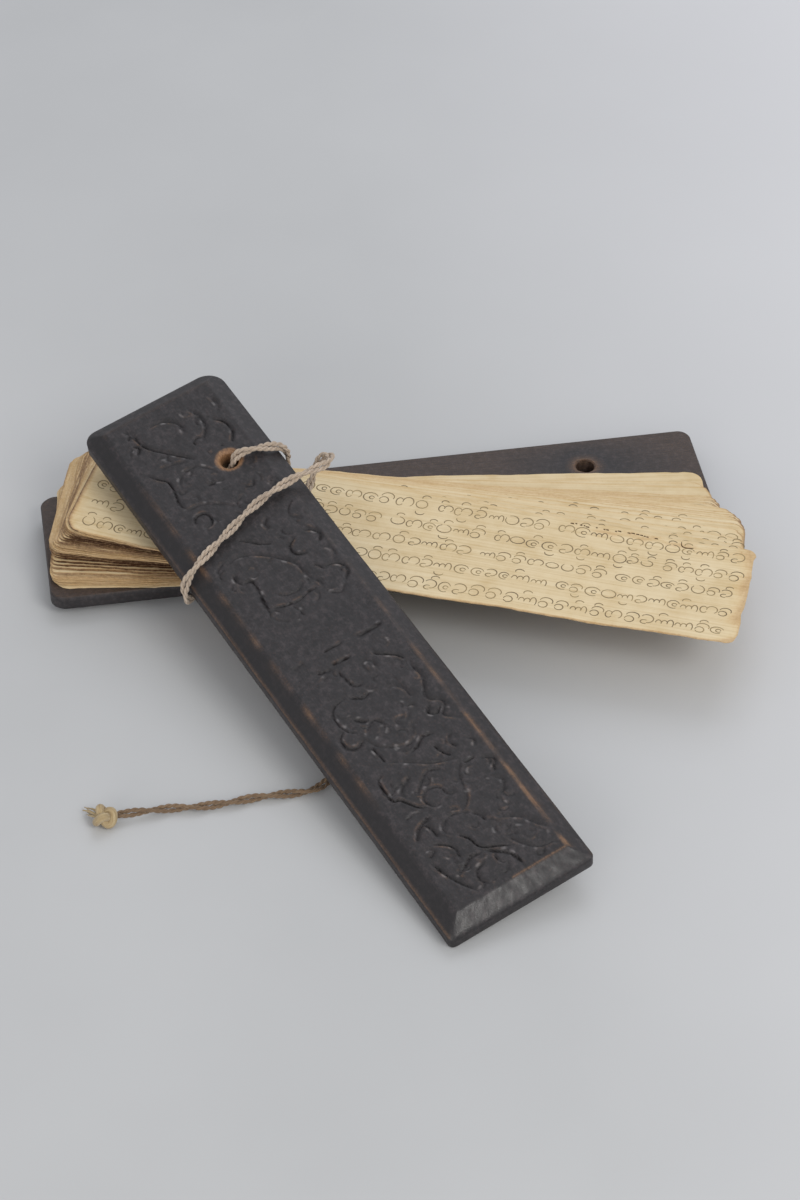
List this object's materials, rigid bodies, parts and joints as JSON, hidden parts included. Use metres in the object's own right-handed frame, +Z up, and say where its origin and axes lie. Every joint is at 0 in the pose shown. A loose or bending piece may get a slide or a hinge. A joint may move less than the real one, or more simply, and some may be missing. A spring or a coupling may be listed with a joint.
{
  "type": "palm leaf manuscript",
  "caption": "Opened palm-leaf book: inscribed leaves fanned on a plain lower cover, carved upper cover swung across and leaning on them, one cord through the strung hole",
  "frame": {"origin": "middle of the lower cover's flat resting face", "axes": "+X along the lower cover away from its strung end, +Y toward the back, +Z up"},
  "size_m": [0.233, 0.226, 0.0507],
  "materials": {
    "carved_wood": "dark carved hardwood, worn along the arrises",
    "leaf": "dried palm leaf, incised, brown at the edges",
    "cord": "two-ply plant fibre cord"
  },
  "bodies": {
    "base": {"lower_cover": "carved_wood", "stop_knot": "cord", "cord_riser": "cord", "cord_tail": "cord", "end_knot": "cord"},
    "leaf_01": {"leaf_01": "leaf"},
    "leaf_02": {"leaf_02": "leaf"},
    "leaf_03": {"leaf_03": "leaf"},
    "leaf_04": {"leaf_04": "leaf"},
    "leaf_05": {"leaf_05": "leaf"},
    "leaf_06": {"leaf_06": "leaf"},
    "leaf_07": {"leaf_07": "leaf"},
    "leaf_08": {"leaf_08": "leaf"},
    "leaf_09": {"leaf_09": "leaf"},
    "leaf_10": {"leaf_10": "leaf"},
    "leaf_11": {"leaf_11": "leaf"},
    "leaf_12": {"leaf_12": "leaf"},
    "leaf_13": {"leaf_13": "leaf"},
    "leaf_14": {"leaf_14": "leaf"},
    "leaf_15": {"leaf_15": "leaf"},
    "leaf_16": {"leaf_16": "leaf"},
    "leaf_17": {"leaf_17": "leaf"},
    "leaf_18": {"leaf_18": "leaf"},
    "leaf_19": {"leaf_19": "leaf"},
    "leaf_20": {"leaf_20": "leaf"},
    "leaf_21": {"leaf_21": "leaf"},
    "leaf_22": {"leaf_22": "leaf"},
    "leaf_23": {"leaf_23": "leaf"},
    "leaf_24": {"leaf_24": "leaf"},
    "leaf_25": {"leaf_25": "leaf"},
    "leaf_26": {"leaf_26": "leaf"},
    "leaf_27": {"leaf_27": "leaf"},
    "leaf_28": {"leaf_28": "leaf"},
    "leaf_29": {"leaf_29": "leaf"},
    "leaf_30": {"leaf_30": "leaf"},
    "leaf_31": {"leaf_31": "leaf"},
    "leaf_32": {"leaf_32": "leaf"},
    "lift": {"cord_link": "cord"},
    "cover": {"upper_cover": "carved_wood", "cord_wrap": "cord", "cord_drop": "cord"}
  },
  "joints": [
    {"name": "leaf_01_swing", "type": "hinge", "parent": "base", "child": "leaf_01", "pos_m": [-0.076, 0.0095, 0.00924], "axis": [0, 0, 1], "range_deg": [0, 6.6]},
    {"name": "leaf_02_swing", "type": "hinge", "parent": "base", "child": "leaf_02", "pos_m": [-0.07545, 0.00892, 0.00971], "axis": [0, 0, 1], "range_deg": [0, 8.41]},
    {"name": "leaf_03_swing", "type": "hinge", "parent": "base", "child": "leaf_03", "pos_m": [-0.07466, 0.00809, 0.01018], "axis": [0, 0, 1], "range_deg": [0, 8.74]},
    {"name": "leaf_04_swing", "type": "hinge", "parent": "base", "child": "leaf_04", "pos_m": [-0.07392, 0.00732, 0.01064], "axis": [0, 0, 1], "range_deg": [0, 9.04]},
    {"name": "leaf_05_swing", "type": "hinge", "parent": "base", "child": "leaf_05", "pos_m": [-0.07337, 0.00679, 0.01111], "axis": [0, 0, 1], "range_deg": [0, 9.93]},
    {"name": "leaf_06_swing", "type": "hinge", "parent": "base", "child": "leaf_06", "pos_m": [-0.07272, 0.00612, 0.01158], "axis": [0, 0, 1], "range_deg": [0, 10.14]},
    {"name": "leaf_07_swing", "type": "hinge", "parent": "base", "child": "leaf_07", "pos_m": [-0.0721, 0.0055, 0.01205], "axis": [0, 0, 1], "range_deg": [0, 10.38]},
    {"name": "leaf_08_swing", "type": "hinge", "parent": "base", "child": "leaf_08", "pos_m": [-0.07196, 0.00546, 0.01252], "axis": [0, 0, 1], "range_deg": [0, 11.95]},
    {"name": "leaf_09_swing", "type": "hinge", "parent": "base", "child": "leaf_09", "pos_m": [-0.07146, 0.005, 0.01298], "axis": [0, 0, 1], "range_deg": [0, 12.3]},
    {"name": "leaf_10_swing", "type": "hinge", "parent": "base", "child": "leaf_10", "pos_m": [-0.07101, 0.00458, 0.01345], "axis": [0, 0, 1], "range_deg": [0, 12.68]},
    {"name": "leaf_11_swing", "type": "hinge", "parent": "base", "child": "leaf_11", "pos_m": [-0.07059, 0.00421, 0.01392], "axis": [0, 0, 1], "range_deg": [0, 13.1]},
    {"name": "leaf_12_swing", "type": "hinge", "parent": "base", "child": "leaf_12", "pos_m": [-0.0702, 0.00387, 0.01439], "axis": [0, 0, 1], "range_deg": [0, 13.53]},
    {"name": "leaf_13_swing", "type": "hinge", "parent": "base", "child": "leaf_13", "pos_m": [-0.06991, 0.00342, 0.01486], "axis": [0, 0, 1], "range_deg": [0, 13.95]},
    {"name": "leaf_14_swing", "type": "hinge", "parent": "base", "child": "leaf_14", "pos_m": [-0.07023, 0.00203, 0.01532], "axis": [0, 0, 1], "range_deg": [0, 14.35]},
    {"name": "leaf_15_swing", "type": "hinge", "parent": "base", "child": "leaf_15", "pos_m": [-0.07051, 0.00069, 0.01579], "axis": [0, 0, 1], "range_deg": [0, 14.72]},
    {"name": "leaf_16_swing", "type": "hinge", "parent": "base", "child": "leaf_16", "pos_m": [-0.07076, -0.00062, 0.01626], "axis": [0, 0, 1], "range_deg": [0, 15.04]},
    {"name": "leaf_17_swing", "type": "hinge", "parent": "base", "child": "leaf_17", "pos_m": [-0.07097, -0.00193, 0.01673], "axis": [0, 0, 1], "range_deg": [0, 15.29]},
    {"name": "leaf_18_swing", "type": "hinge", "parent": "base", "child": "leaf_18", "pos_m": [-0.07116, -0.00323, 0.0172], "axis": [0, 0, 1], "range_deg": [0, 15.5]},
    {"name": "leaf_19_swing", "type": "hinge", "parent": "base", "child": "leaf_19", "pos_m": [-0.07133, -0.00452, 0.01766], "axis": [0, 0, 1], "range_deg": [0, 15.69]},
    {"name": "leaf_20_swing", "type": "hinge", "parent": "base", "child": "leaf_20", "pos_m": [-0.0715, -0.00578, 0.01813], "axis": [0, 0, 1], "range_deg": [0, 15.88]},
    {"name": "leaf_21_swing", "type": "hinge", "parent": "base", "child": "leaf_21", "pos_m": [-0.07166, -0.007, 0.0186], "axis": [0, 0, 1], "range_deg": [0, 16.08]},
    {"name": "leaf_22_swing", "type": "hinge", "parent": "base", "child": "leaf_22", "pos_m": [-0.07182, -0.00815, 0.01907], "axis": [0, 0, 1], "range_deg": [0, 16.31]},
    {"name": "leaf_23_swing", "type": "hinge", "parent": "base", "child": "leaf_23", "pos_m": [-0.07233, -0.00955, 0.01954], "axis": [0, 0, 1], "range_deg": [0, 16.59]},
    {"name": "leaf_24_swing", "type": "hinge", "parent": "base", "child": "leaf_24", "pos_m": [-0.07369, -0.01166, 0.02], "axis": [0, 0, 1], "range_deg": [0, 16.91]},
    {"name": "leaf_25_swing", "type": "hinge", "parent": "base", "child": "leaf_25", "pos_m": [-0.07499, -0.01365, 0.02047], "axis": [0, 0, 1], "range_deg": [0, 17.26]},
    {"name": "leaf_26_swing", "type": "hinge", "parent": "base", "child": "leaf_26", "pos_m": [-0.07621, -0.01553, 0.02094], "axis": [0, 0, 1], "range_deg": [0, 17.65]},
    {"name": "leaf_27_swing", "type": "hinge", "parent": "base", "child": "leaf_27", "pos_m": [-0.07736, -0.01731, 0.02141], "axis": [0, 0, 1], "range_deg": [0, 18.04]},
    {"name": "leaf_28_swing", "type": "hinge", "parent": "base", "child": "leaf_28", "pos_m": [-0.07827, -0.01835, 0.02188], "axis": [0, 0, 1], "range_deg": [0, 18.9], "deforming": ["cord_riser"]},
    {"name": "leaf_29_swing", "type": "hinge", "parent": "base", "child": "leaf_29", "pos_m": [-0.07906, -0.01926, 0.02234], "axis": [0, 0, 1], "range_deg": [0, 19.8], "deforming": ["cord_riser"]},
    {"name": "leaf_30_swing", "type": "hinge", "parent": "base", "child": "leaf_30", "pos_m": [-0.07953, -0.01943, 0.02281], "axis": [0, 0, 1], "range_deg": [0, 21.2], "deforming": ["cord_riser"]},
    {"name": "leaf_31_swing", "type": "hinge", "parent": "base", "child": "leaf_31", "pos_m": [-0.07999, -0.01985, 0.02328], "axis": [0, 0, 1], "range_deg": [0, 22.4], "deforming": ["cord_riser"]},
    {"name": "leaf_32_swing", "type": "hinge", "parent": "base", "child": "leaf_32", "pos_m": [-0.0804, -0.02037, 0.02375], "axis": [0, 0, 1], "range_deg": [0, 23.5], "deforming": ["cord_riser"]},
    {"name": "cover_lift", "type": "hinge", "parent": "base", "child": "lift", "pos_m": [-0.04479, -0.03851, 0.0284], "axis": [-0.9171, 0.3987, 0], "range_deg": [0, 13.06], "deforming": ["cord_link", "cord_drop"]},
    {"name": "cover_swing", "type": "hinge", "parent": "lift", "child": "cover", "pos_m": [-0.07224, -0.01623, 0.0306], "axis": [-0.0901, -0.2073, 0.9741], "range_deg": [0, 67.26], "deforming": ["cord_tail"]}
  ],
  "couplings": [
    {"joint": "leaf_01_swing", "follows": "leaf_28_swing", "ratio": 0.34921},
    {"joint": "leaf_02_swing", "follows": "leaf_28_swing", "ratio": 0.44495},
    {"joint": "leaf_03_swing", "follows": "leaf_28_swing", "ratio": 0.46217},
    {"joint": "leaf_04_swing", "follows": "leaf_28_swing", "ratio": 0.47813},
    {"joint": "leaf_05_swing", "follows": "leaf_28_swing", "ratio": 0.52549},
    {"joint": "leaf_06_swing", "follows": "leaf_28_swing", "ratio": 0.53646},
    {"joint": "leaf_07_swing", "follows": "leaf_28_swing", "ratio": 0.54892},
    {"joint": "leaf_08_swing", "follows": "leaf_28_swing", "ratio": 0.63228},
    {"joint": "leaf_09_swing", "follows": "leaf_28_swing", "ratio": 0.65051},
    {"joint": "leaf_10_swing", "follows": "leaf_28_swing", "ratio": 0.6709},
    {"joint": "leaf_11_swing", "follows": "leaf_28_swing", "ratio": 0.69287},
    {"joint": "leaf_12_swing", "follows": "leaf_28_swing", "ratio": 0.71559},
    {"joint": "leaf_13_swing", "follows": "leaf_28_swing", "ratio": 0.73808},
    {"joint": "leaf_14_swing", "follows": "leaf_28_swing", "ratio": 0.7594},
    {"joint": "leaf_15_swing", "follows": "leaf_28_swing", "ratio": 0.77883},
    {"joint": "leaf_16_swing", "follows": "leaf_28_swing", "ratio": 0.79597},
    {"joint": "leaf_17_swing", "follows": "leaf_28_swing", "ratio": 0.80903},
    {"joint": "leaf_18_swing", "follows": "leaf_28_swing", "ratio": 0.82022},
    {"joint": "leaf_19_swing", "follows": "leaf_28_swing", "ratio": 0.83029},
    {"joint": "leaf_20_swing", "follows": "leaf_28_swing", "ratio": 0.84017},
    {"joint": "leaf_21_swing", "follows": "leaf_28_swing", "ratio": 0.85084},
    {"joint": "leaf_22_swing", "follows": "leaf_28_swing", "ratio": 0.86313},
    {"joint": "leaf_23_swing", "follows": "leaf_28_swing", "ratio": 0.8776},
    {"joint": "leaf_24_swing", "follows": "leaf_28_swing", "ratio": 0.8944},
    {"joint": "leaf_25_swing", "follows": "leaf_28_swing", "ratio": 0.91328},
    {"joint": "leaf_26_swing", "follows": "leaf_28_swing", "ratio": 0.93363},
    {"joint": "leaf_27_swing", "follows": "leaf_28_swing", "ratio": 0.95458}
  ]
}
